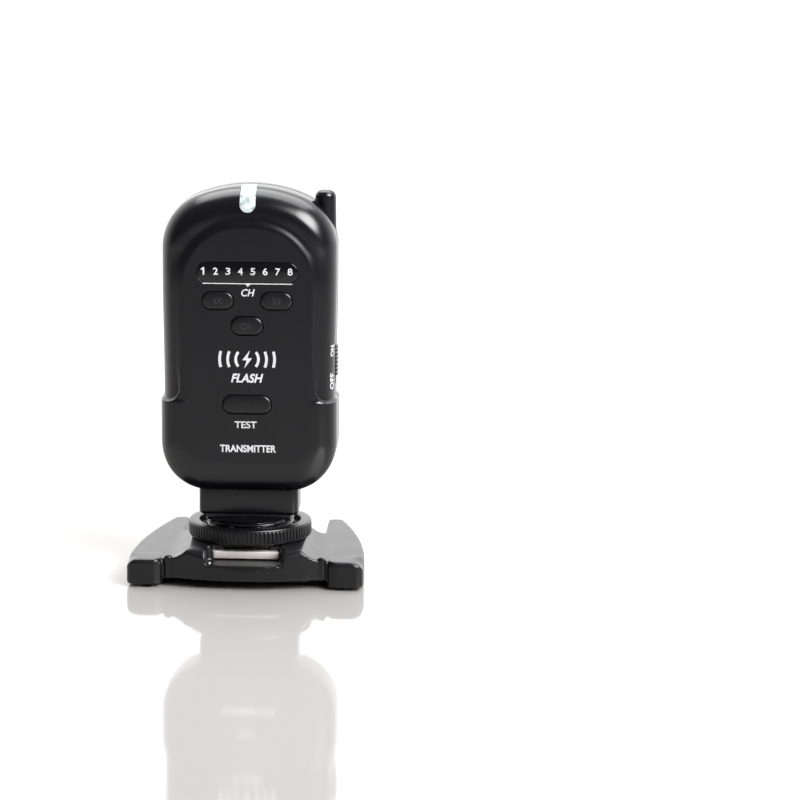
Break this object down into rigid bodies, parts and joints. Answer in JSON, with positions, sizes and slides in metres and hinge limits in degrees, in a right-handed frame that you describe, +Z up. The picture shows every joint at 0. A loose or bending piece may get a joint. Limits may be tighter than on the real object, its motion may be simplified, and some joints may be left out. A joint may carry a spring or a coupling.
{
  "type": "wireless flash trigger",
  "caption": "Handheld radio flash transmitter with keys, antenna stub and lock-ring shoe foot, standing in a small winged flash stand.",
  "frame": {"origin": "on the surface it stands on, under the middle of the whole object's box", "axes": "+Z up, +X to the right of someone facing the keys, +Y away from them"},
  "size_m": [0.0648, 0.0568, 0.1084],
  "materials": {
    "case_plastic": "satin moulded black",
    "stand_plastic": "glossy moulded black",
    "foot_plastic": "satin moulded black",
    "ring_plastic": "satin moulded black, knurled",
    "key_plastic": "satin moulded black",
    "window_plastic": "dark smoked window",
    "clear_plastic": "clear moulded lens",
    "plate_metal": "nickel-plated steel",
    "contact_metal": "gold-plated contact",
    "spring_steel": "spring steel",
    "screw_steel": "zinc-plated steel",
    "brass": "turned brass",
    "pad_rubber": "soft black rubber",
    "insulator": "black nylon",
    "board_laminate": "green solder mask",
    "chip_plastic": "moulded chip package",
    "can_metal": "tinned shield",
    "led_plastic": "white diode package",
    "cell_wrap": "printed cell wrap, plain",
    "tray_plastic": "moulded black",
    "lead_sleeve": "red lead insulation"
  },
  "bodies": {
    "stand": {"stand_base": "stand_plastic", "stand_pads": "pad_rubber", "tripod_bush": "brass"},
    "foot": {"foot_block": "foot_plastic", "foot_plate": "plate_metal", "contact_carrier": "insulator", "contact_spring": "spring_steel", "foot_screws": "screw_steel", "foot_leads": "lead_sleeve"},
    "contact": {"contact_pin": "contact_metal"},
    "washer": {"ring_washer": "spring_steel"},
    "ring": {"lock_ring": "ring_plastic"},
    "case": {"front_shell": "case_plastic", "rear_shell": "case_plastic", "channel_window": "window_plastic", "status_lens": "clear_plastic", "antenna_cap": "case_plastic", "antenna_coil": "brass", "slide_switch": "can_metal", "tact_switches": "chip_plastic", "main_board": "board_laminate", "radio_board": "board_laminate", "radio_can": "can_metal", "radio_chip": "chip_plastic", "processor_chip": "chip_plastic", "crystal": "can_metal", "capacitors": "can_metal", "channel_leds": "led_plastic", "status_led": "led_plastic", "battery_tray": "tray_plastic", "battery_left": "cell_wrap", "battery_right": "cell_wrap", "battery_springs": "spring_steel", "battery_plates": "contact_metal", "battery_leads": "lead_sleeve", "board_leads": "lead_sleeve", "hinge_pins": "screw_steel", "hinge_washers": "spring_steel", "board_screws": "screw_steel", "case_screws": "screw_steel"},
    "door": {"battery_door": "case_plastic"},
    "slider": {"power_slider": "key_plastic", "switch_actuator": "insulator"},
    "key_previous": {"button_previous": "key_plastic"},
    "key_next": {"button_next": "key_plastic"},
    "key_set": {"button_set": "key_plastic"},
    "key_test": {"button_test": "key_plastic"}
  },
  "joints": [
    {"name": "shoe_slide", "type": "slide", "parent": "stand", "child": "foot", "axis": [0, -1, 0], "range_m": [0, 0.027]},
    {"name": "contact_press", "type": "slide", "parent": "foot", "child": "contact", "axis": [0, 0, 1], "range_m": [0, 0.00025], "stiffness_N_per_m": 1500, "deforming": ["contact_spring"]},
    {"name": "ring_lift", "type": "slide", "parent": "foot", "child": "washer", "axis": [0, 0, 1], "range_m": [0, 0.00187]},
    {"name": "ring_turn", "type": "hinge", "parent": "washer", "child": "ring", "pos_m": [0, -0.0051, 0.0132], "axis": [0, 0, 1], "range_deg": [0, 540]},
    {"name": "body_fold", "type": "hinge", "parent": "foot", "child": "case", "pos_m": [0, -0.0051, 0.031], "axis": [-1, 0, 0], "range_deg": [0, 90]},
    {"name": "door_swing", "type": "hinge", "parent": "case", "child": "door", "pos_m": [0, 0.0051, 0.0922], "axis": [-1, 0, 0], "range_deg": [-80, 0]},
    {"name": "power_slide", "type": "slide", "parent": "case", "child": "slider", "axis": [0, 0, -1], "range_m": [0, 0.002]},
    {"name": "previous_press", "type": "slide", "parent": "case", "child": "key_previous", "axis": [0, 1, 0], "range_m": [0, 0.0005], "stiffness_N_per_m": 900},
    {"name": "next_press", "type": "slide", "parent": "case", "child": "key_next", "axis": [0, 1, 0], "range_m": [0, 0.0005], "stiffness_N_per_m": 900},
    {"name": "set_press", "type": "slide", "parent": "case", "child": "key_set", "axis": [0, 1, 0], "range_m": [0, 0.0005], "stiffness_N_per_m": 900},
    {"name": "test_press", "type": "slide", "parent": "case", "child": "key_test", "axis": [0, 1, 0], "range_m": [0, 0.0005], "stiffness_N_per_m": 900}
  ],
  "couplings": [
    {"joint": "ring_turn", "follows": "ring_lift", "rad_per_m": 5026}
  ]
}
